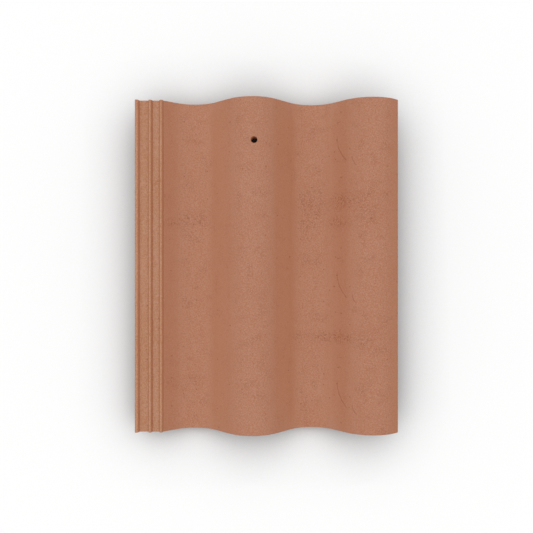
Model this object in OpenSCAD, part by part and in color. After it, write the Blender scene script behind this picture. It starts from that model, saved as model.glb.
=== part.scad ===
// Double-wave interlocking roof tile: one fired piece with two pans, two rolls, an underlock of ribs
// and channels along its left edge, an overlock under its right edge, a nail hole and two hanging nibs.
// It lies as it would on a level floor, leaning on its nibs, with its head towards +Y. Millimetres.

/* [Tile] */
// Length from head to tail
tile_l = 418; // [330:1:500]
// Width of roof that one laid tile covers, two waves
cover_w = 300; // [260:1:340]
// Thickness of the wall, pans, rolls and flanks alike
wall = 12; // [9:0.5:14]

/* [Wave] */
// Height of the rolls above the pans, on the top face
wave_h = 38; // [33:0.5:44]
// Radius of the middle roll, on the top face
roll_1_r = 44.5; // [36:0.5:54]
// Slope of the outer flank, from the side lock down to the first pan, in degrees
flank_0_a = 35; // [32:0.5:44]
// Slope of the flanks beside the middle roll, in degrees
flank_1_a = 41.5; // [36:0.1:46]
// Steepening of the flank up to the second roll, which covers the side lap, in degrees
flank_step = 2.7; // [0:0.1:4]
// Rounding of the right edge
edge_r = 1; // [0.6:0.1:3]

/* [Side lock] */
// Height of the channel floors above the pans, on the top face
lock_h = 17; // [14:0.5:19]
// Thickness of the flange under the channels
lock_t = 9; // [7:0.5:12]
// Height of the ribs above the channel floors
rib_h = 4.4; // [3.5:0.1:5]
// Radius of the ribs' round tops
rib_r = 1.65; // [1:0.05:2]
// Slope of the ribs' sides, in degrees
rib_a = 66; // [55:1:75]
// Width of the outer rib's flat top, from the tile's left edge
rib_inset = 2.45; // [1:0.05:4]
// Width of the outer channel's floor
channel_1_w = 10.2; // [8:0.1:12]
// Width of the inner channel's floor
channel_2_w = 7.8; // [6.5:0.1:10]
// Width of the flat shoulder between the inner rib and the first pan
shoulder_w = 0.3; // [0.2:0.1:3]
// Reach of the right edge past the foot of the next tile's inner rib
lip_reach = 0.5; // [0.2:0.1:2]
// Play between the overlock and the next tile's underlock, all round
lock_play = 1.5; // [0.8:0.1:2]

/* [Nail hole] */
// Diameter of the nail hole
nail_d = 8; // [5:0.5:10]
// Distance of the nail hole from the head
nail_from_head = 53.5; // [45:0.5:80]
// Distance of the nail hole from the middle roll's crest
nail_off = 1.7; // [-5:0.1:5]

/* [Nibs] */
// Drop of the nibs below the pans
nib_drop = 12; // [8:0.5:18]
// Length of a nib along the tile
nib_l = 18; // [12:0.5:24]
// Width of a nib at its foot
nib_w = 26; // [18:0.5:34]
// Widening of a nib on each side, from its foot up to the pan
nib_flare = 4; // [0:0.5:6]
// Widening of a nib towards the head, from its foot up to the pan
nib_back = 5; // [0:0.5:6]
// Distance of the nibs from the head
nib_from_head = 10; // [7:0.5:16]

/* [Hidden] */
$fn = 96;
terracotta = "#b27d64";

// Depth to which neighbouring lines and arcs cut into each other, so that they cross cleanly
bite = 0.01;

// A rib's sides leave its round top at rib_a and reach the channel floor half a foot from its middle
rib_half = rib_r / sin(rib_a) + (rib_h - rib_r) / tan(rib_a);

// The right edge laps over the next tile as far as the foot of its inner rib
rib_2_inset = rib_inset + 2 * rib_half + channel_1_w;
rib_3_inset = rib_2_inset + 2 * rib_half + channel_2_w;
side_lap = rib_3_inset - rib_half + lip_reach;
tile_w = cover_w + side_lap;
tile_h = wall + wave_h;
left = -tile_w / 2;
right = tile_w / 2;
rib_1_x = left + rib_inset;
rib_2_x = left + rib_2_inset;
rib_3_x = left + rib_3_inset;

// Levels of the channel floors and of the flange's underside, above the underside of the pans
floor_z = wall + lock_h;
flange_z = floor_z - lock_t;

// Radii of a pan and of the roll beside it together, for a flank that runs into both at a given slope
half_wave = cover_w / 4;
flank_2_a = flank_1_a + flank_step;
function radii(a) = (half_wave * sin(a) - wave_h * cos(a) + 2 * bite) / (1 - cos(a));
pan_r = radii(flank_1_a) - roll_1_r;
roll_2_r = radii(flank_2_a) - pan_r;

// The first pan lies where its outer flank comes down from the shoulder
shoulder_x = rib_3_x + rib_half + shoulder_w;
outer_flank_h = lock_h - pan_r * (1 - cos(flank_0_a));
pan_1_x = shoulder_x + outer_flank_h / tan(flank_0_a) + pan_r * sin(flank_0_a);
roll_1_x = pan_1_x + half_wave;
pan_2_x = roll_1_x + half_wave;
roll_2_x = pan_2_x + half_wave;

// Centres of the arcs of the pans and of the rolls, shared by the top face and the underside
pan_1 = [pan_1_x, wall + pan_r];
pan_2 = [pan_2_x, wall + pan_r];
roll_1 = [roll_1_x, tile_h - roll_1_r];
roll_2 = [roll_2_x, tile_h - roll_2_r];

// Centre of the right edge's rounding, inside the arc of the second roll
edge_x = right - edge_r + bite;
edge_arc_r = roll_2_r - edge_r + bite;
edge = [edge_x, roll_2[1] + sqrt(pow(edge_arc_r, 2) - pow(edge_x - roll_2_x, 2))];

// The overlock's feet hang above the next tile's channel floors
foot_z = floor_z + lock_play;

// The tile lies on its tail and on the tail side of its nibs' feet
nib_face = nib_from_head + nib_l;
lean = atan(nib_drop / (tile_l - nib_face));
lie_y = (tile_l * cos(lean) - tile_h * sin(lean)) / 2;

// Direction from a pan's centre to the start of its right (1) or left (-1) flank
function toward(a, side) = [side * sin(a), -cos(a)];

// All that lies under the top face, for a depth of 0, or under the underside, for a depth of wall
module under(depth, lock_z) {
    pan_d = pan_r + depth - bite;
    roll_1_d = roll_1_r - depth - bite;
    roll_2_d = roll_2_r - depth - bite;
    start = pan_1 + pan_d * toward(flank_0_a, -1);
    difference() {
        polygon([
            [left - wall, lock_z],
            [start[0] - (lock_z - start[1]) / tan(flank_0_a), lock_z],
            start,
            pan_1 + pan_d * toward(flank_1_a, 1),
            roll_1 - roll_1_d * toward(flank_1_a, 1),
            roll_1 - roll_1_d * toward(flank_1_a, -1),
            pan_2 + pan_d * toward(flank_1_a, -1),
            pan_2 + pan_d * toward(flank_2_a, 1),
            roll_2 - roll_2_d * toward(flank_2_a, 1),
            roll_2,
            [roll_2_x, -tile_h],
            [left - wall, -tile_h]
        ]);
        for (centre = [pan_1, pan_2])
            translate(centre)
                circle(pan_r + depth);
    }
    translate(roll_1)
        circle(roll_1_r - depth);
    translate(roll_2)
        circle(roll_2_r - depth);
}

// One rib of the underlock, sunk into the flange, or grown all round by a play
module rib(x, play = 0) {
    r = rib_r + play;
    top_half = (r - bite) * sin(rib_a);
    top_z = rib_h - rib_r + (r - bite) * cos(rib_a);
    sink = lock_t / 2;
    foot_half = top_half + (top_z + sink) / tan(rib_a);
    translate([x, floor_z]) {
        polygon([[-foot_half, -sink], [foot_half, -sink], [top_half, top_z], [-top_half, top_z]]);
        translate([0, rib_h - rib_r])
            circle(r);
    }
}

// Outer rib, flat on top as far as the tile's left edge
module outer_rib() {
    rib(rib_1_x);
    translate([left, flange_z])
        square([rib_inset, lock_t + rib_h - bite]);
}

// Thickening under the second roll: a tongue for the next tile's outer channel, and an edge lip for
// its inner channel
module overlock() {
    tongue_x = cover_w + rib_1_x + rib_half + lock_play / sin(rib_a);
    intersection() {
        translate(roll_2)
            circle(roll_2_r - wall / 2);
        polygon([
            [tongue_x, floor_z],
            [right + wall, floor_z],
            [right + wall, tile_h],
            [tongue_x - (tile_h - floor_z) / tan(rib_a), tile_h]
        ]);
    }
}

// Tile's right end as far as its edge, rounded
module round_edge() {
    far = 2 * wall;
    difference() {
        children();
        polygon([edge, edge + far * (edge - roll_2) / edge_arc_r, edge + [far, 0]]);
    }
    translate(edge)
        circle(edge_r);
}

// Room for the next tile's underlock, with the play, below the second roll
module lap_room() {
    translate([roll_2_x, -tile_h])
        square([tile_w, tile_h + foot_z]);
    for (x = [rib_2_x, rib_3_x])
        rib(cover_w + x, lock_play);
}

// Whole cross section, seen from the tail
module section() {
    intersection() {
        difference() {
            union() {
                round_edge() {
                    difference() {
                        under(0, floor_z);
                        under(wall, flange_z);
                    }
                    overlock();
                }
                outer_rib();
                rib(rib_2_x);
                rib(rib_3_x);
            }
            lap_room();
        }
        translate([left, -wall])
            square([tile_w, tile_h + 2 * wall]);
    }
}

// Carries a shape in the cross section's plane along the tile, from y0 to y1
module along(y0, y1) {
    translate([0, y1, 0])
        rotate([90, 0, 0])
            linear_extrude(y1 - y0)
                children();
}

// Hanging nib under a pan, with a flat face towards the tail that hooks over the batten
module nib(x) {
    back_y = tile_l / 2 - nib_from_head;
    face_y = tile_l / 2 - nib_face;
    root_z = wall / 2;
    widen = (nib_drop + root_z) / nib_drop;
    root_w = nib_w + 2 * nib_flare * widen;
    root_y = back_y + nib_back * widen;
    intersection() {
        along(face_y, root_y)
            polygon([
                [x - nib_w / 2, -nib_drop],
                [x + nib_w / 2, -nib_drop],
                [x + root_w / 2, root_z],
                [x - root_w / 2, root_z]
            ]);
        translate([x - root_w, 0, 0])
            rotate([90, 0, 90])
                linear_extrude(2 * root_w)
                    polygon([[face_y, -nib_drop], [back_y, -nib_drop], [root_y, root_z], [face_y, root_z]]);
    }
}

// Lays the tile on the floor, leaning on its nibs, and centres it
module lie_down() {
    translate([0, -lie_y, 0])
        rotate([lean, 0, 0])
            translate([0, tile_l / 2, 0])
                children();
}

module roof_tile() {
    color(terracotta)
        lie_down()
            difference() {
                union() {
                    along(-tile_l / 2, tile_l / 2)
                        section();
                    nib(pan_1_x);
                    nib(pan_2_x);
                }
                translate([roll_1_x + nail_off, tile_l / 2 - nail_from_head, 0])
                    cylinder(d = nail_d, h = 2 * tile_h);
            }
}

roof_tile();
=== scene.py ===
import bpy
import numpy as np
from mathutils import Matrix


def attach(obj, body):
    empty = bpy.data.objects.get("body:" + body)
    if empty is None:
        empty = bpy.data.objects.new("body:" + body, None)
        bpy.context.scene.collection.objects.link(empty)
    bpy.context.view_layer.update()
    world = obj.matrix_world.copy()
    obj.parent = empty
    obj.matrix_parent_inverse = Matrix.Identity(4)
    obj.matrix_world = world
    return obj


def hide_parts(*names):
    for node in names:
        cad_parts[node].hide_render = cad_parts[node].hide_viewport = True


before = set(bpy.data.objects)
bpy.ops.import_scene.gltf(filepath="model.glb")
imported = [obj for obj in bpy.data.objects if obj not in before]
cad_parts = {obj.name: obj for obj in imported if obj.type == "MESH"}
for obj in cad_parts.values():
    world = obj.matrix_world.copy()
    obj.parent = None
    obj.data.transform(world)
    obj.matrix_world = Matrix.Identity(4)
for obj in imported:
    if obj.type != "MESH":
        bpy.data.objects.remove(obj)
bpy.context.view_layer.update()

# Roof tile
# One double-wave interlocking tile of terracotta: a ribbon of stiff clay, extruded through a die that gives
# it its pans, rolls and side lock, cut to length, pierced for a nail, coated with a thin red slip and fired.
# It lies loose on the floor, on its tail and on the two nibs under its head. Sizes are in millimetres.

# Sizes of the tile and its wave, with slopes in degrees
tile_l = 418.0
cover_w = 300.0
wall = 12.0
wave_h = 38.0
roll_1_r = 44.5
flank_0 = 35.0
flank_1 = 41.5
flank_step = 2.7
edge_r = 0.6

# Sizes of the side lock
lock_h = 17.0
lock_t = 9.0
rib_h = 4.4
rib_r = 1.65
rib_slope = 66.0
rib_inset = 2.45
channel_1_w = 10.2
channel_2_w = 7.8
shoulder_w = 0.3
lip_reach = 0.5
lock_play = 1.5

# Sizes of the nail hole and of the hanging nibs
nail_r = 4.0
nail_from_head = 53.5
nail_off = 1.7
nib_drop = 12.0
nib_l = 18.0
nib_w = 26.0
nib_flare = 4.0
nib_back = 5.0
nib_from_head = 10.0


def sin(angle):
    """Sine of an angle in degrees"""
    return np.sin(np.radians(angle))


def cos(angle):
    """Cosine of an angle in degrees"""
    return np.cos(np.radians(angle))


def tan(angle):
    """Tangent of an angle in degrees"""
    return np.tan(np.radians(angle))


# Places across the tile, from its left edge, and levels above the underside of the pans
rib_half = rib_r / sin(rib_slope) + (rib_h - rib_r) / tan(rib_slope)
rib_2_inset = rib_inset + 2 * rib_half + channel_1_w
rib_3_inset = rib_2_inset + 2 * rib_half + channel_2_w
tile_w = cover_w + rib_3_inset - rib_half + lip_reach
left = -tile_w / 2
right = tile_w / 2
rib_1_x = left + rib_inset
rib_2_x = left + rib_2_inset
rib_3_x = left + rib_3_inset
tile_h = wall + wave_h
floor_z = wall + lock_h
flange_z = floor_z - lock_t
foot_z = floor_z + lock_play
crest_z = floor_z + rib_h
rib_centre_z = crest_z - rib_r


def radii(flank):
    """Radii of a pan and of the roll beside it, added up, for a flank that is tangent to both arcs: a quarter
    of the cover times the slope's sine, less the wave's height times its cosine, over one less its cosine"""
    return (cover_w / 4 * sin(flank) - wave_h * cos(flank)) / (1 - cos(flank))


flank_2 = flank_1 + flank_step
pan_r = radii(flank_1) - roll_1_r
roll_2_r = radii(flank_2) - pan_r
shoulder_x = rib_3_x + rib_half + shoulder_w
pan_1_x = shoulder_x + (lock_h - pan_r * (1 - cos(flank_0))) / tan(flank_0) + pan_r * sin(flank_0)
pan_1 = np.array([pan_1_x, wall + pan_r])
roll_1 = np.array([pan_1_x + cover_w / 4, tile_h - roll_1_r])
pan_2 = np.array([pan_1_x + cover_w / 2, wall + pan_r])
roll_2 = np.array([pan_1_x + cover_w * 3 / 4, tile_h - roll_2_r])


def arc(centre, radius, angles):
    """Points of an arc: the centre, plus the radius times the sine and cosine of angles from straight up"""
    return np.asarray(centre) + radius * np.stack([sin(angles), cos(angles)], axis=-1)


def between(a, b, count):
    """Points that divide the straight line from a to b evenly, without its two ends"""
    share = np.linspace(0, 1, count + 2)[1:-1, None]
    return a + (b - a) * share


def soften(line, reach):
    """The line with its corners rounded as a die and wet clay round them: it is cut into short equal steps,
    and each point becomes the mean of those within reach of it, twice over. Its ends run on straight."""
    step = 0.05
    along = np.concatenate([[0], np.cumsum(np.hypot(*np.diff(line, axis=0).T))])
    even = np.arange(0, along[-1], step)
    fine = np.stack([np.interp(even, along, line[:, k]) for k in (0, 1)], axis=-1)
    width = 2 * int(reach / step) + 1
    beyond = np.arange(1, width)[:, None]
    before = fine[0] - beyond[::-1] * (fine[1] - fine[0])
    after = fine[-1] + beyond * (fine[-1] - fine[-2])
    fine = np.concatenate([before, fine, after])
    mean = np.ones(width) / width
    twice = [np.convolve(np.convolve(fine[:, k], mean, "valid"), mean, "valid") for k in (0, 1)]
    return np.stack(twice, axis=-1)


def thin(line, count):
    """The line with fewer points, about 2 mm apart on the straight and 14 degrees apart round a bend: they
    stand at equal parts of length over 2 plus turning over 14, added up along the line"""
    even_step = 2.0
    even_turn = 14.0
    leg = np.diff(line, axis=0)
    heading = np.unwrap(np.arctan2(leg[:, 1], leg[:, 0]))
    bend = np.abs(np.diff(heading, append=heading[-1]))
    total = np.concatenate([[0], np.cumsum(np.hypot(*leg.T) / even_step + np.degrees(bend) / even_turn)])
    even = np.linspace(0, total[-1], count)
    return np.stack([np.interp(even, total, line[:, k]) for k in (0, 1)], axis=-1)


def facing(line, other):
    """Points of a line that runs from left to right, one for each point of another such line and at the same
    share of its width"""
    share = (other[:, 0] - other[0, 0]) / (other[-1, 0] - other[0, 0])
    x = line[0, 0] + share * (line[-1, 0] - line[0, 0])
    return np.stack([x, np.interp(x, line[:, 0], line[:, 1])], axis=-1)


# Side lock on the left: three ribs with two channels between them on top, and a flat flange below
crest_round = 0.5
flange_round = 0.8
die_soft = 0.35
flange_soft = 1.0
flank_run = 4.0
rib_points = 24
lock_points = 84
flank_dir = np.array([cos(flank_0), -sin(flank_0)])
lock_line = [
    [[left + crest_round, crest_z]],
    arc([rib_1_x, rib_centre_z], rib_r, np.linspace(0, rib_slope, rib_points)),
]
for rib_x, channel_w in ((rib_2_x, channel_1_w), (rib_3_x, channel_2_w)):
    foot_x = rib_x - rib_half
    lock_line.append([[foot_x - channel_w, floor_z], [foot_x, floor_z]])
    lock_line.append(arc([rib_x, rib_centre_z], rib_r, np.linspace(-rib_slope, rib_slope, rib_points)))
shoulder = np.array([shoulder_x, floor_z])
lock_line.append([[rib_3_x + rib_half, floor_z], shoulder, shoulder + flank_run * flank_dir])
lock_top = thin(soften(np.concatenate(lock_line), die_soft), lock_points)
pan_1_under = arc(pan_1, pan_r + wall, 180 + flank_0)
flange_x = pan_1_under[0] - (flange_z - pan_1_under[1]) / tan(flank_0)
flange_corner = np.array([flange_x, flange_z])
flange_end = flange_corner + flank_run * flank_dir
flange_line = np.array([[left + flange_round, flange_z], flange_corner, flange_end])
lock_under = facing(soften(flange_line, flange_soft), lock_top)

# Wave: pans and rolls with straight flanks between them, one wall thick throughout. Round the nail hole, the
# grid has equal squares: those that the hole replaces, and those that are drawn into rings about it.
flank_points = 6
pan_points = 34
roll_2_points = 17
before_hole = 11
after_hole = 9
hole_cells = 3
hole_reach = 8
hole_pitch = 1.25
cell = np.arange(-hole_reach, hole_reach + 1)
hole_turn = np.degrees(hole_pitch / roll_1_r)
hole_angle = np.degrees(nail_off / (roll_1_r - wall / 2))
hole_angles = hole_angle + hole_turn * cell
roll_1_angles = np.concatenate([
    np.linspace(-flank_1, hole_angles[0], before_hole + 1)[:-1],
    hole_angles,
    np.linspace(hole_angles[-1], flank_1, after_hole + 1)[1:],
])


def wave(depth, start):
    """Line at a depth under the top face, from a start on the outer flank to the second roll's crest: arcs
    about the pans' and rolls' centres, whose radii grow or shrink by the depth, joined by straight flanks"""
    bends = [
        arc(pan_1, pan_r + depth, np.linspace(180 + flank_0, 180 - flank_1, pan_points)),
        arc(roll_1, roll_1_r - depth, roll_1_angles),
        arc(pan_2, pan_r + depth, np.linspace(180 + flank_1, 180 - flank_2, pan_points)),
        arc(roll_2, roll_2_r - depth, np.linspace(-flank_2, 0, roll_2_points)),
    ]
    line = []
    for bend in bends:
        line += [between(start, bend[0], flank_points), bend]
        start = bend[-1]
    return np.concatenate(line)


wave_top = wave(0, lock_top[-1])
wave_under = wave(wall, lock_under[-1])

# Side lap on the right: under the second roll hang a tongue and an edge lip, fitted to the next tile's ribs
lap_soft = 0.5
lap_points = 52
fine_points = 200
hollow_turn = 20
lap_rib_points = 30
lip_points = 8
edge_turn = np.degrees(np.arcsin((right - edge_r - roll_2[0]) / (roll_2_r - edge_r)))
edge = arc(roll_2, roll_2_r - edge_r, edge_turn)
lap_r = rib_r + lock_play
lap_2_x = cover_w + rib_2_x
lap_3_x = cover_w + rib_3_x
lap_half = lap_r * sin(rib_slope) + (rib_h - rib_r - lock_play + lap_r * cos(rib_slope)) / tan(rib_slope)
lip_turn = -np.degrees(np.arcsin((lap_3_x - right) / lap_r))
tongue_x = cover_w + rib_1_x + rib_half + lock_play / sin(rib_slope) - lock_play / tan(rib_slope)
hollow = arc(roll_2, roll_2_r - wall, np.linspace(0, hollow_turn, fine_points))
past_tongue = hollow[:, 0] > tongue_x - (hollow[:, 1] - foot_z) / tan(rib_slope)
lap_line = np.concatenate([
    hollow[:np.argmax(past_tongue)],
    [[tongue_x, foot_z], [lap_2_x - lap_half, foot_z]],
    arc([lap_2_x, rib_centre_z], lap_r, np.linspace(-rib_slope, rib_slope, lap_rib_points)),
    [[lap_2_x + lap_half, foot_z], [lap_3_x - lap_half, foot_z]],
    arc([lap_3_x, rib_centre_z], lap_r, np.linspace(-rib_slope, lip_turn, lip_points)),
])
lap_under = thin(soften(lap_line, lap_soft), lap_points)
lap_top = facing(arc(roll_2, roll_2_r, np.linspace(0, edge_turn, fine_points)), lap_under)

# Section's closed outline: along the top, down the right edge, back along the underside and up the left
# edge. Both edges have as many points as the cut ends have rows between top and underside.
edge_points = 4
side_points = 2
on_round = 0.3
below_floor = 1.0
above_flange = 3.0
top_line = np.concatenate([lock_top, wave_top, lap_top[1:]])
under_line = np.concatenate([lock_under, wave_under, lap_under[1:]])
right_side = np.concatenate([
    arc(edge, edge_r, np.linspace(edge_turn, 90, edge_points + 1)[1:]),
    between(np.array([right, edge[1]]), under_line[-1], side_points),
])
left_side = np.array([
    [left + on_round * crest_round, crest_z - on_round * crest_round],
    [left, crest_z - crest_round],
    [left, floor_z - below_floor],
    [left, flange_z + above_flange],
    [left, flange_z + flange_round],
    [left + on_round * flange_round, flange_z + on_round * flange_round],
])
across = len(top_line)
rows = len(right_side)
loop = np.concatenate([top_line, right_side, under_line[::-1], left_side[::-1]])
heading = np.roll(loop, -1, axis=0) - np.roll(loop, 1, axis=0)
outward = np.stack([-heading[:, 1], heading[:, 0]], axis=-1) / np.hypot(*heading.T)[:, None]

# Stations along the tile, from tail to head, close together at the cut ends, the nail hole and the nibs
cut_round = 0.7
round_turns = np.array([90.0, 60.0, 30.0, 0.0])
tail_gap = 2.0
head_gap = 3.0
face_soft = 0.4
tail_rows = 90
nib_rows = 6
half_tile = tile_l / 2
end_y = cut_round * (1 - sin(round_turns))
nail_y = half_tile - nail_from_head
hole_y = nail_y + hole_pitch * cell
back_y = half_tile - nib_from_head
face_y = back_y - nib_l
station = np.concatenate([
    -half_tile + end_y,
    np.linspace(-half_tile + tail_gap, hole_y[0], tail_rows)[:-1],
    hole_y,
    np.linspace(hole_y[-1], face_y - 3 * face_soft, nib_rows + 1)[1:],
    face_y + face_soft * np.array([-1, 0, 1, 3]),
    np.linspace(face_y + head_gap, back_y, nib_rows),
    np.linspace(back_y, back_y + nib_back, nib_rows)[1:],
    [half_tile - head_gap],
    half_tile - end_y[::-1],
])
inset = np.zeros(len(station))
inset[:len(end_y)] = cut_round * (1 - cos(round_turns))
inset[-len(end_y):] = inset[:len(end_y)][::-1]
section = loop[None] - inset[:, None, None] * outward[None]
lengthwise = np.broadcast_to(station[:, None], section.shape[:2])
body = np.stack([section[..., 0], lengthwise, section[..., 1]], axis=-1)


def ramp(value, low, high):
    """0 below low and 1 above high, with a smooth rise between them: three times the share squared, less
    twice its cube"""
    share = np.clip((value - low) / (high - low), 0, 1)
    return share * share * (3 - 2 * share)


# Hanging nibs: the underside is drawn down to their flat feet inside two rectangles under the pans
under = slice(across + rows, 2 * across + rows)
x, y, z = np.moveaxis(body[:, under], -1, 0)
along_nib = ramp(y, face_y - face_soft, face_y + face_soft) * (1 - ramp(y, back_y, back_y + nib_back))
for pan_x in (pan_1[0], pan_2[0]):
    drawn = along_nib * (1 - ramp(np.abs(x - pan_x), nib_w / 2, nib_w / 2 + nib_flare))
    z = z + drawn * (-nib_drop - z)
body[:, under, 2] = z

# Nail hole: squares of the grid round it are drawn into rings, on the top face and on the underside alike.
# Its rim is rounded, and the pin that pierced it went in a little aslant.
rim = 0.5
slant_x = 1.2
slant_y = -0.8
nail_x = roll_1[0] + nail_off
hole_i = len(lock_top) + 2 * flank_points + pan_points + before_hole + hole_reach
hole_j = int(np.argmin(np.abs(station - nail_y)))
under_i = across + rows + across - 1 - hole_i
p, q = np.meshgrid(cell, cell)
ring = np.maximum(np.abs(p), np.abs(q))
safe = np.maximum(ring, 1)
turn_beside = q / safe * np.sign(p) + np.where(p < 0, 4, 0)
turn_above = 2 * np.sign(q) - p / safe * np.sign(q)
turn = 45.0 * np.where(np.abs(p) >= np.abs(q), turn_beside, turn_above)
ring_r = nail_r + rim + (ring - hole_cells) * hole_pitch
drawn = 1 - ramp(ring, hole_cells, hole_reach)
span_j = slice(hole_j - hole_reach, hole_j + hole_reach + 1)
for middle, radius, angle, slant in (
        (hole_i, roll_1_r, turn, 0),
        (under_i, roll_1_r - wall, turn[:, ::-1], 1)):
    span = slice(middle - hole_reach, middle + hole_reach + 1)
    x, y = body[span_j, span, 0], body[span_j, span, 1]
    x = x + drawn * (nail_x + slant * slant_x + ring_r * cos(angle) - x)
    y = y + drawn * (nail_y + slant * slant_y + ring_r * sin(angle) - y)
    body[span_j, span, 0] = x
    body[span_j, span, 1] = y
    body[span_j, span, 2] = roll_1[1] + np.sqrt(radius**2 - (x - roll_1[0])**2)

# Long faces: squares between the stations, open where the nail hole is
stations, around = body.shape[:2]
number = np.arange(stations * around).reshape(stations, around)
following = np.roll(number, -1, axis=1)
quads = np.stack([number[:-1], following[:-1], following[1:], number[1:]], axis=-1)
keep = np.ones(quads.shape[:2], bool)
hole_rows = slice(hole_j - hole_cells, hole_j + hole_cells)
keep[hole_rows, hole_i - hole_cells:hole_i + hole_cells] = False
keep[hole_rows, under_i - hole_cells:under_i + hole_cells] = False
faces = [quads[keep]]
points = [body.reshape(-1, 3)]
made = stations * around

# Cut ends: grids between the top and the underside, with rows closer together near both
end_shares = np.array([0.05, 0.15, 0.35, 0.65, 0.85, 0.95])[None, :, None]
for j in (0, stations - 1):
    grid = np.empty((across, rows + 2), int)
    grid[:, 0] = number[j, :across]
    grid[:, -1] = number[j, under][::-1]
    grid[-1, 1:-1] = number[j, across:across + rows]
    grid[0, 1:-1] = number[j, around - rows:][::-1]
    upper = body[j, :across][1:-1, None]
    lower = body[j, under][::-1][1:-1, None]
    inner = upper + (lower - upper) * end_shares
    inner_count = inner.shape[0] * inner.shape[1]
    grid[1:-1, 1:-1] = made + np.arange(inner_count).reshape(inner.shape[:2])
    made += inner_count
    points.append(inner.reshape(-1, 3))
    cut = np.stack([grid[:-1, :-1], grid[:-1, 1:], grid[1:, 1:], grid[1:, :-1]], axis=-1).reshape(-1, 4)
    faces.append(cut if j == 0 else cut[:, ::-1])

# Wall of the nail hole: rings from its upper rim to its lower one, a little wider at both mouths
mouth = 0.15
bore_r = nail_r + mouth * np.array([1, 0, 0, 0, 1])[:, None]
bore_share = np.array([0.02, 0.06, 0.5, 0.94, 0.98])[:, None]
one_side = np.arange(-hole_cells, hole_cells)
next_side = np.full(2 * hole_cells, hole_cells)
rim_p = np.concatenate([one_side, next_side, -one_side, -next_side])
rim_q = np.concatenate([-next_side, one_side, next_side, -one_side])
rim_top = number[hole_j + rim_q, hole_i + rim_p]
rim_under = number[hole_j + rim_q, under_i - rim_p]
rim_xy = body[hole_j + rim_q, hole_i + rim_p][:, :2] - [nail_x, nail_y]
rim_dir = rim_xy / np.hypot(*rim_xy.T)[:, None]
rim_top_z = points[0][rim_top, 2]
rim_under_z = points[0][rim_under, 2]
bore = np.stack([
    nail_x + slant_x * bore_share + bore_r * rim_dir[:, 0],
    nail_y + slant_y * bore_share + bore_r * rim_dir[:, 1],
    rim_top_z + bore_share * (rim_under_z - rim_top_z),
], axis=-1)
bore_count = bore.shape[0] * bore.shape[1]
bore_number = made + np.arange(bore_count).reshape(bore.shape[:2])
rings = np.concatenate([[rim_top], bore_number, [rim_under]])
onward = np.roll(rings, -1, axis=1)
points.append(bore.reshape(-1, 3))
faces.append(np.stack([rings[:-1], onward[:-1], onward[1:], rings[1:]], axis=-1).reshape(-1, 4))
points = np.concatenate(points)
faces = np.concatenate(faces)

# Laid on the floor: turned about its tail until its nibs touch, then centred, in metres
mm = 0.001
lean = np.degrees(np.arctan(nib_drop / (tile_l - nib_from_head - nib_l)))
lie_y = (tile_l * cos(lean) - tile_h * sin(lean)) / 2
from_tail = Matrix.Translation((0, half_tile * mm, 0))
tipped = Matrix.Rotation(np.radians(lean), 4, "X")
centred = Matrix.Translation((0, -lie_y * mm, 0))
laid = centred @ tipped @ from_tail
lay = np.array(laid)
points = points * mm @ lay[:3, :3].T + lay[:3, 3]
mesh = bpy.data.meshes.new("roof_tile_clay")
mesh.from_pydata(points.tolist(), [], faces.tolist())
mesh.polygons.foreach_set("use_smooth", np.ones(len(faces), bool))
mesh.validate()
mesh.update()
tile = bpy.data.objects.new("roof_tile_clay", mesh)
bpy.context.collection.objects.link(tile)


def bell(value, middle, reach):
    """1 at the middle, fading to both sides: e to the power of minus the squared share of the reach"""
    return np.exp(-((value - middle) / reach)**2)


# Form that the clay's pattern and its painted light and shade follow: where the slip is, from the inner rib's
# foot to the right edge; how level the face lies, where on the lock strip the lit sides that face left count
# as level; and how deep in the wave, where the right edge and its side count as deep, so that they take
# painted light
slip_from = rib_3_x + rib_half - 0.8
slip_soft = 1.0
lock_steep = (38, 64)
wave_steep = (14, 38)
crest_share = 0.95
edge_painted_light = 0.9
side_painted_light = 2.0
top_x, top_z = top_line.T
run, rise = np.gradient(top_line, axis=0).T
slope = np.degrees(np.arctan2(rise, run))
in_lock = top_x < shoulder_x
slip_loop = np.zeros(around)
slip_loop[:across] = ramp(top_x, slip_from, slip_from + slip_soft)
slip_loop[across:across + rows] = 1
level_or_lit_loop = np.zeros(around)
# On the lock strip only the sides that face right, away from the light, count as steep: the bare clay there
# takes painted shade, and elsewhere a painted sheen
level_or_lit_loop[:across] = 1 - np.where(in_lock, ramp(-slope, *lock_steep), ramp(np.abs(slope), *wave_steep))
valley_painted_light_loop = np.zeros(around)
valley_painted_light_loop[:across] = 1 - ramp(top_z, wall + 0.5 * wave_h, wall + crest_share * wave_h)
# The right edge and its side face count as deep, so that they take the valleys' painted light
valley_painted_light_loop[:across] += edge_painted_light * ramp(top_x, right - 14, right - 1)
valley_painted_light_loop[across - 2:across + rows] = side_painted_light
form = np.zeros((len(points), 3))
form[:stations * around] = np.tile(np.stack([slip_loop, level_or_lit_loop, valley_painted_light_loop], axis=-1), (stations, 1))

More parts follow.
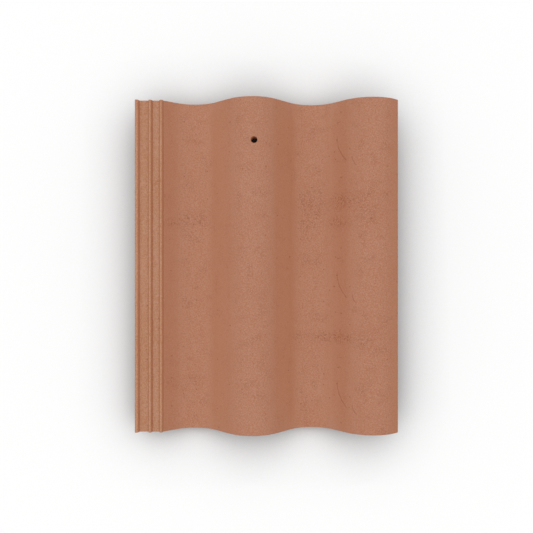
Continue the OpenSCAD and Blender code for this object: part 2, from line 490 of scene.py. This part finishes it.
# Painted light and shade over the top, in place of how the light falls: paler low on the flanks that rise to
# the right, in the inner channel, on the ribs and in four bands along the tile, and darker on the right, at
# the shoulder, near the ends and in the nail hole
rising_pale = np.where(top_x < roll_1[0], 0.55, 2.1)
flank_pale = 0.4
right_dark = 0.28
edge_dark = 0.2
channel_pale = 0.7
rib_pale = 0.5
end_painted_shade = 0.3
bore_painted_shade = 4.0
pale_bands = ((27, 4, 0.35), (2, 7, 0.15), (90, 8, 0.15), (111, 8, 0.33))
low = np.cos(np.pi * (top_z - wall) / wave_h)
on_wave = np.clip(low, 0, 1) * ramp(slope, 30, 44) * rising_pale
on_wave += flank_pale * low * ramp(np.abs(slope), 10, 24)
on_wave -= right_dark * ramp(top_x, roll_1[0], roll_2[0])
on_wave -= edge_dark * ramp(top_x, right - 18, right - 5)
on_wave -= 1 - ramp(top_x, shoulder_x + 5, shoulder_x + 17)
channel_from = rib_2_x + rib_half
channel_to = rib_3_x - rib_half
in_channel = ramp(top_x, channel_from, channel_from + 1) * (1 - ramp(top_x, channel_to - 1, channel_to))
on_rib = ramp(top_z, floor_z + 0.5, floor_z + 2.5)
painted_shading_loop = np.zeros(around)
painted_shading_loop[:across] = np.where(in_lock, channel_pale * in_channel + rib_pale * on_rib, on_wave)
for band_x, reach, paler in pale_bands:
    painted_shading_loop[:across] += paler * bell(top_x, band_x, reach)
near_end = ramp(np.abs(station), half_tile - 45, half_tile - 5)
# Painted shade near both ends, in the wave's low parts and at the right edge
painted_shading_grid = painted_shading_loop - end_painted_shade * near_end[:, None] * np.clip(valley_painted_light_loop, 0, 1)

# Weather and painted shade: the raw faces below and at the cut ends; in one channel, a painted shade along the
# right feet of two ribs and the stains where damp and dust have darkened the top in a dozen places; and the
# painted light and shade
raw_from = across + 3
# Painted shade along the right feet of the first two ribs, in creases that face away from the light
rib_foot_shade_lines = ((rib_1_x, 0.12), (rib_2_x, 0.33))
foot_in = 0.4
foot_reach = 0.8
rib_foot_shade_loop = np.zeros(around)
for rib_x, darker in rib_foot_shade_lines:
    rib_foot_shade_loop[:across] += darker * bell(top_x, rib_x + rib_half - foot_in, foot_reach)
weather_and_shade = np.zeros((len(points), 3))
weather_and_shade[:, 0] = 1
weather_and_shade[:stations * around, 0] = np.tile(np.arange(around) >= raw_from, stations)
weather_and_shade[:stations * around, 1] = np.tile(rib_foot_shade_loop, stations)
weather_and_shade[:stations * around, 2] = painted_shading_grid.ravel()
# The wall of the nail hole is painted dark, as painted shade in the hole
weather_and_shade[-bore_count:, 2] = -bore_painted_shade
blotches = (
    (97, 84, 12, 8, 0.7), (90, 54, 11, 7, 0.7), (60, 80, 18, 22, 0.7), (121, 72, 20, 22, 0.6),
    (95, -91, 13, 6, 1.0), (70, -91, 11, 7, 0.8), (41, -90, 9, 5, 0.5), (125, -92, 17, 13, 0.5),
    (-88, 62, 16, 11, 0.5), (-121, 55, 10, 5, 0.6), (-91, -147, 9, 8, 0.6), (-120, -147, 10, 6, 0.5))
for x, y, reach_x, reach_y, darker in blotches:
    weather_and_shade[:, 1] += darker * bell(points[:, 0] / mm, x, reach_x) * bell(points[:, 1] / mm, y, reach_y)
weather_and_shade[:, 1] *= 1 - weather_and_shade[:, 0]
for name, values in (("form", form), ("weather_and_shade", weather_and_shade)):
    attribute = mesh.attributes.new(name, "FLOAT_VECTOR", "POINT")
    attribute.data.foreach_set("vector", values.astype(np.float32).ravel())


def srgb(code):
    """Linear colour of an sRGB hex value"""
    value = np.array([int(code[k:k + 2], 16) for k in (1, 3, 5)]) / 255
    linear = np.where(value <= 0.04045, value / 12.92, ((value + 0.055) / 1.055)**2.4)
    return (*linear.tolist(), 1.0)


def add(tree, kind, inputs=(), **settings):
    """Adds a shader node to a tree, its kind named without ShaderNode in front, with its settings, and sets or
    links its inputs by name or number. A mix has its share at 0, numbers at 2 and 3 and colours at 6 and 7."""
    made = tree.nodes.new("ShaderNode" + kind)
    for name, value in settings.items():
        setattr(made, name, value)
    for name, value in dict(inputs).items():
        if isinstance(value, bpy.types.NodeSocket):
            tree.links.new(value, made.inputs[name])
        else:
            made.inputs[name].default_value = value
    return made


# Fired terracotta, unglazed: a matt red-brown body with a sandy grain. The thin slip on top is a little
# redder and closer than the bare clay of the lock strip, and takes a weak satin shine where it lies level.
clay = bpy.data.materials.new("fired_terracotta")
clay.use_nodes = True
tree = clay.node_tree
shader = tree.nodes["Principled BSDF"]
metres = add(tree, "TexCoord").outputs["Object"]
place = add(tree, "Mapping", {"Vector": metres, "Scale": (1 / mm, 1 / mm, 1 / mm)}).outputs["Vector"]
formed = add(tree, "Attribute", attribute_name="form").outputs["Vector"]
slip, level_or_lit, valley_painted_light = add(tree, "SeparateXYZ", {"Vector": formed}).outputs
weather_and_shade_read = add(tree, "Attribute", attribute_name="weather_and_shade").outputs["Vector"]
raw_face, stain_and_shade, painted_shading = add(tree, "SeparateXYZ", {"Vector": weather_and_shade_read}).outputs

# Colours of the slip on the crests and in the pans, of the bare clay on the ribs' sides and on the level, and
# of the raw faces. The slip in the pans is painted paler, as painted light against the shade that falls there.
# The bare clay is darker and redder on sides that face right, as painted shade, and paler where it lies level
# or faces left, as a painted sheen.
crest_slip = srgb("#b67f64")
pan_slip_painted_light = srgb("#ba8265")
steep_clay_painted_shade = srgb("#bd8567")
level_clay_painted_sheen = srgb("#be8c6e")
raw_clay = srgb("#b78369")
slip_colour = add(
    tree, "Mix", {0: valley_painted_light, 6: crest_slip, 7: pan_slip_painted_light}, data_type="RGBA", clamp_factor=False).outputs[2]
bare_colour_with_painted_light = add(tree, "Mix", {0: level_or_lit, 6: steep_clay_painted_shade, 7: level_clay_painted_sheen}, data_type="RGBA").outputs[2]
rough_colour = add(tree, "Mix", {0: raw_face, 6: bare_colour_with_painted_light, 7: raw_clay}, data_type="RGBA").outputs[2]
body_colour = add(tree, "Mix", {0: slip, 6: rough_colour, 7: slip_colour}, data_type="RGBA").outputs[2]

# Sandy grain, drawn coarser than real sand so that it shows, with mottling and faint clouds. It is half as
# strong on steep faces and half as strong again on bare clay.
grain_mm = 1.45
mottle_mm = 9.0
cloud_mm = 60.0
grain_gain = 2.55
mottle_gain = 0.2
cloud_gain = 0.3
steep_grain = 0.52
bare_grain = 1.55
mean_tone = 0.53
grain = add(
    tree, "TexNoise",
    {"Vector": place, "Scale": 1 / grain_mm, "Detail": 2.0, "Roughness": 0.6}).outputs["Fac"]
mottle = add(tree, "TexNoise", {"Vector": place, "Scale": 1 / mottle_mm, "Detail": 2.0}).outputs["Fac"]
cloud = add(tree, "TexNoise", {"Vector": place, "Scale": 1 / cloud_mm, "Detail": 1.0}).outputs["Fac"]
tone = add(
    tree, "Math", {0: grain, 1: grain_gain, 2: 0.5 - 0.5 * grain_gain}, operation="MULTIPLY_ADD").outputs[0]
tone = add(tree, "Math", {0: mottle, 1: mottle_gain, 2: tone}, operation="MULTIPLY_ADD").outputs[0]
tone = add(tree, "Math", {0: cloud, 1: cloud_gain, 2: tone}, operation="MULTIPLY_ADD").outputs[0]
tone = add(tree, "Math", {0: tone, 1: 0.5 * (mottle_gain + cloud_gain)}, operation="SUBTRACT").outputs[0]
strong = add(tree, "MapRange", {"Value": level_or_lit, "To Min": steep_grain, "To Max": 1.0}).outputs["Result"]
coarse = add(tree, "MapRange", {"Value": slip, "To Min": bare_grain, "To Max": 1.0}).outputs["Result"]
strong = add(tree, "Math", {0: strong, 1: coarse}, operation="MULTIPLY").outputs[0]
tone = add(tree, "Mix", {0: strong, 2: mean_tone, 3: tone}, data_type="FLOAT", clamp_factor=False).outputs[0]

# Raw faces: drag lines of the die and the cutting wire, about 1.5 mm apart
drag_scale = (1 / 1.5, 1 / 90.0, 1 / 4.0)
drag_gain = 0.8
dragged = add(tree, "Mapping", {"Vector": place, "Scale": drag_scale}).outputs["Vector"]
drag = add(tree, "TexNoise", {"Vector": dragged, "Scale": 1.0, "Detail": 1.0}).outputs["Fac"]
drag = add(tree, "Math", {0: drag, 1: 0.5}, operation="SUBTRACT").outputs[0]
drag = add(tree, "Math", {0: drag, 1: raw_face}, operation="MULTIPLY").outputs[0]
tone = add(tree, "Math", {0: drag, 1: drag_gain, 2: tone}, operation="MULTIPLY_ADD").outputs[0]

# Curls: short bent lines, where a pattern passes its middle value, faint and broken on the slip and dark in
# the stains and in the painted shade at the ribs' feet
curl_mm = 3.2
curl_core = 0.008
curl_edge = 0.05
break_mm = 14.0
faint_gain = 0.6
stain_and_shade_gain = 1.5
swirl = add(
    tree, "TexNoise",
    {"Vector": place, "Scale": 1 / curl_mm, "Detail": 1.0, "Distortion": 0.7}).outputs["Fac"]
swirl = add(tree, "Math", {0: swirl, 1: 0.5}, operation="SUBTRACT").outputs[0]
swirl = add(tree, "Math", {0: swirl}, operation="ABSOLUTE").outputs[0]
curl = add(
    tree, "MapRange",
    {"Value": swirl, "From Min": curl_core, "From Max": curl_edge, "To Min": 1.0, "To Max": 0.0},
).outputs["Result"]
broken = add(tree, "TexNoise", {"Vector": place, "Scale": 1 / break_mm, "Detail": 0.0}).outputs["Fac"]
broken = add(tree, "MapRange", {"Value": broken, "From Min": 0.58, "From Max": 0.7}).outputs["Result"]
faint = add(tree, "Math", {0: broken, 1: strong}, operation="MULTIPLY").outputs[0]
faint = add(tree, "Math", {0: faint, 1: slip}, operation="MULTIPLY").outputs[0]
faint = add(tree, "Math", {0: faint, 1: faint_gain}, operation="MULTIPLY").outputs[0]
dark = add(tree, "Math", {0: stain_and_shade, 1: stain_and_shade_gain, 2: faint}, operation="MULTIPLY_ADD").outputs[0]
dark = add(tree, "Math", {0: dark, 1: curl}, operation="MULTIPLY").outputs[0]

# Grain, the painted light and shade, and the stains together tint the body's colour, from a sandy shade to
# none
painted_shading_gain = 0.18
stain_and_shade_tone = -0.04
sandy = srgb("#ead0ae")
untinted = srgb("#ffffff")
# The painted light and shade, then the stains with the painted shade at the ribs' feet, move the tone
tone = add(tree, "Math", {0: painted_shading, 1: painted_shading_gain, 2: tone}, operation="MULTIPLY_ADD").outputs[0]
tone = add(
    tree, "Math", {0: stain_and_shade, 1: stain_and_shade_tone, 2: tone}, operation="MULTIPLY_ADD", use_clamp=True).outputs[0]
tint = add(tree, "Mix", {0: tone, 6: sandy, 7: untinted}, data_type="RGBA").outputs[2]
grained = add(
    tree, "Mix", {0: 1.0, 6: body_colour, 7: tint}, data_type="RGBA", blend_type="MULTIPLY").outputs[2]

# Specks of iron, up to about 2 mm across, in about half of 15 mm squares
speck_cell = 15.0
speck_r = 1.05
speck_soft = 0.45
cells = add(tree, "TexVoronoi", {"Vector": place, "Scale": 1 / speck_cell}, voronoi_dimensions="2D").outputs
chance = add(tree, "SeparateXYZ", {"Vector": cells["Color"]}).outputs["X"]
size = add(
    tree, "MapRange",
    {"Value": chance, "From Min": 0.5, "From Max": 1.0, "To Max": speck_r / speck_cell}).outputs["Result"]
speck = add(tree, "Math", {0: size, 1: cells["Distance"]}, operation="SUBTRACT").outputs[0]
speck = add(tree, "MapRange", {"Value": speck, "From Max": speck_soft / speck_cell}).outputs["Result"]

# Scores on the second roll's flank, where a grain caught in the die: a bent hairline that deepens downwards,
# a short one beside it and eight pits. The set comes three times along the tile, so its place is folded into
# the first set's. Each is part of a circle's left half: its centre, radius, middle, half length and depth.
ragged_mm = 6.0
wander_mm = (1.5, 1.5, 0.0)
score_core = 0.15
score_edge = 0.75
score_fade = 2.0
past_centre = 2.0
ragged = add(tree, "TexNoise", {"Vector": place, "Scale": 1 / ragged_mm, "Detail": 1.0}).outputs
wander = add(
    tree, "VectorMath",
    {0: ragged["Color"], 1: wander_mm, 2: place}, operation="MULTIPLY_ADD").outputs["Vector"]
score_x, score_y, _ = add(tree, "SeparateXYZ", {"Vector": wander}).outputs
down = score_y
for set_end, set_gap in ((60.0, 172.0), (-90.0, 138.0)):
    past = add(tree, "Math", {0: score_y, 1: set_end}, operation="LESS_THAN").outputs[0]
    down = add(tree, "Math", {0: past, 1: set_gap, 2: down}, operation="MULTIPLY_ADD").outputs[0]
folded = add(tree, "CombineXYZ", {"X": score_x, "Y": down}).outputs["Vector"]
torn = add(
    tree, "MapRange",
    {"Value": ragged["Fac"], "From Min": 0.42, "From Max": 0.58, "To Min": 0.65, "To Max": 1.0},
).outputs["Result"]
deeper = add(
    tree, "MapRange",
    {"Value": down, "From Min": 160.0, "From Max": 136.0, "To Min": 0.5, "To Max": 1.0}).outputs["Result"]
deeper = add(tree, "Math", {0: deeper, 1: torn}, operation="MULTIPLY").outputs[0]
marks = add(tree, "Math", {0: speck, 1: dark}, operation="MAXIMUM").outputs[0]
scores = (
    (141.8, 163.8, 51.0, 149.5, 17.5, deeper), (121.7, 136.8, 14.3, 131.8, 6.5, deeper),
    (104.9, 146.9, 0.4, 146.9, 9.0, 0.7), (87.5, 146.5, 0.4, 146.5, 9.0, 0.75),
    (82.2, 141.9, 0.4, 141.9, 9.0, 0.6), (90.6, 161.2, 0.5, 161.2, 9.0, 0.8),
    (91.7, 182.2, 0.5, 182.2, 9.0, 0.75), (94.0, 182.8, 0.4, 182.8, 9.0, 0.4),
    (95.2, 195.2, 0.4, 195.2, 9.0, 0.55), (95.3, 112.7, 0.5, 112.7, 9.0, 0.75))
for x, y, radius, middle, half_length, depth in scores:
    away = add(tree, "VectorMath", {0: folded, 1: (x, y, 0.0)}, operation="DISTANCE").outputs["Value"]
    off = add(tree, "Math", {0: away, 1: radius}, operation="SUBTRACT").outputs[0]
    off = add(tree, "Math", {0: off}, operation="ABSOLUTE").outputs[0]
    score = add(
        tree, "MapRange",
        {"Value": off, "From Min": score_core, "From Max": score_edge, "To Min": 1.0, "To Max": 0.0},
    ).outputs["Result"]
    from_middle = add(tree, "Math", {0: down, 1: middle}, operation="SUBTRACT").outputs[0]
    from_middle = add(tree, "Math", {0: from_middle}, operation="ABSOLUTE").outputs[0]
    fade_from = half_length - score_fade
    within = add(
        tree, "MapRange",
        {"Value": from_middle, "From Min": fade_from, "From Max": half_length, "To Min": 1.0, "To Max": 0.0},
    ).outputs["Result"]
    score = add(tree, "Math", {0: score, 1: within}, operation="MULTIPLY").outputs[0]
    left_half = add(tree, "Math", {0: score_x, 1: x + past_centre}, operation="LESS_THAN").outputs[0]
    score = add(tree, "Math", {0: score, 1: left_half}, operation="MULTIPLY").outputs[0]
    score = add(tree, "Math", {0: score, 1: depth}, operation="MULTIPLY").outputs[0]
    marks = add(tree, "Math", {0: marks, 1: score}, operation="MAXIMUM").outputs[0]
fair_face = add(tree, "Math", {0: 1.0, 1: raw_face}, operation="SUBTRACT").outputs[0]
marks = add(tree, "Math", {0: marks, 1: fair_face}, operation="MULTIPLY").outputs[0]
iron_brown = srgb("#975433")
colour = add(tree, "Mix", {0: marks, 6: grained, 7: iron_brown}, data_type="RGBA").outputs[2]
tree.links.new(colour, shader.inputs["Base Color"])

# Closer and shinier where the slip is, open and dull on bare clay; the grain and the marks are also felt
bare_dull = 0.62
slip_dull = 0.5
pale_dull = -0.12
raw_dull = 0.35
relief_mm = 0.3
mark_depth = -0.3
dull = add(tree, "MapRange", {"Value": slip, "To Min": bare_dull, "To Max": slip_dull}).outputs["Result"]
dull = add(tree, "Math", {0: tone, 1: pale_dull, 2: dull}, operation="MULTIPLY_ADD").outputs[0]
dull = add(tree, "Math", {0: raw_face, 1: raw_dull, 2: dull}, operation="MULTIPLY_ADD").outputs[0]
tree.links.new(dull, shader.inputs["Roughness"])
shader.inputs["Specular IOR Level"].default_value = 0.6
height = add(tree, "Math", {0: marks, 1: mark_depth, 2: tone}, operation="MULTIPLY_ADD").outputs[0]
relief = add(tree, "Bump", {"Height": height, "Strength": 0.25, "Distance": relief_mm * mm})
tree.links.new(relief.outputs["Normal"], shader.inputs["Normal"])
mesh.materials.append(clay)
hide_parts("roof_tile")
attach(tile, "root")

# Studio floor
# A plain sheet of white matt board that carries on past the picture. The tile's soft shade on it is partly
# real and partly a painted shadow in the colour that the camera sees, drawn from how closely the tile hems
# each spot in, leaning so that it falls to the lower right, and nearly black under the tile. It throws only a
# weak light back under the tile.
floor_half = 4.0
shade_reach = 0.088
lit_tilt = (-0.17, 0.13, 0.0)
deep_from = 0.2
deep_to = 0.42
blackest = 0.02
thrown_back = (0.3, 0.3, 0.3, 1)
floor_mesh = bpy.data.meshes.new("studio_floor")
corners = [(x * floor_half, y * floor_half, 0) for x, y in ((-1, -1), (1, -1), (1, 1), (-1, 1))]
floor_mesh.from_pydata(corners, [], [(0, 1, 2, 3)])
floor = bpy.data.objects.new("studio_floor", floor_mesh)
bpy.context.collection.objects.link(floor)
board = bpy.data.materials.new("white_matt_board")
board.use_nodes = True
tree = board.node_tree
seen = add(tree, "LightPath").outputs["Is Camera Ray"]
upright = add(tree, "NewGeometry").outputs["Normal"]
lit_from = add(tree, "VectorMath", {0: upright, 1: lit_tilt}, operation="ADD").outputs["Vector"]
# Painted shadow: the colour the camera sees darkens where the tile hems a spot in, with the open side leaning
# to the upper left, and goes down to nearly black under the tile
open_share = add(
    tree, "AmbientOcclusion", {"Distance": shade_reach, "Normal": lit_from}, samples=16).outputs["AO"]
deep = add(
    tree, "MapRange", {"Value": open_share, "From Min": deep_from, "From Max": deep_to},
    interpolation_type="SMOOTHSTEP").outputs["Result"]
shade = add(tree, "Math", {0: open_share, 1: deep}, operation="MULTIPLY").outputs[0]
shade = add(tree, "Math", {0: shade, 1: blackest}, operation="MAXIMUM").outputs[0]
board_colour_painted_shadow = add(tree, "Mix", {0: seen, 6: thrown_back, 7: shade}, data_type="RGBA").outputs[2]
shader = tree.nodes["Principled BSDF"]
shader.inputs["Roughness"].default_value = 1.0
shader.inputs["Specular IOR Level"].default_value = 0.0
tree.links.new(board_colour_painted_shadow, shader.inputs["Base Color"])
floor_mesh.materials.append(board)

# Studio light
# A white tent all round, brighter overhead than at its foot and a little brighter on the upper left. The
# camera sees it as plain white.
tent_foot = 0.80
tent_rise = 0.30
tent_side = 0.08
tent_lean = (-0.8 * tent_side, 0.6 * tent_side, tent_rise)
world = bpy.data.worlds.new("light_tent")
bpy.context.scene.world = world
world.use_nodes = True
tree = world.node_tree
direction = add(tree, "TexCoord").outputs["Generated"]
glow = add(tree, "VectorMath", {0: direction, 1: tent_lean}, operation="DOT_PRODUCT").outputs["Value"]
glow = add(tree, "Math", {0: glow, 1: tent_foot}, operation="ADD").outputs[0]
seen = add(tree, "LightPath").outputs["Is Camera Ray"]
strength = add(tree, "Mix", {0: seen, 2: glow, 3: 1.0}, data_type="FLOAT").outputs[0]
background = tree.nodes["Background"]
tree.links.new(strength, background.inputs["Strength"])
background.inputs["Color"].default_value = (1, 1, 1, 1)

# Camera
# It looks straight down on the tile's own plane from 0.74 m above it, a little from the left and turned by
# about one degree. Its place was fitted to the outline in the photo.
focal_px = 560.0
picture_px = 533
sensor = 36.0
camera_x = -11.85
camera_y = -0.50
camera_z = 737.83
camera_tilt = -0.972
camera_data = bpy.data.cameras.new("camera")
camera_data.sensor_width = sensor
camera_data.lens = focal_px / picture_px * sensor
camera = bpy.data.objects.new("camera", camera_data)
camera_place = Matrix.Translation((camera_x * mm, camera_y * mm, camera_z * mm))
camera_turn = Matrix.Rotation(np.radians(camera_tilt), 4, "Y")
camera.matrix_world = laid @ camera_place @ camera_turn
bpy.context.collection.objects.link(camera)
bpy.context.scene.camera = camera
bpy.context.scene.view_settings.view_transform = "Standard"
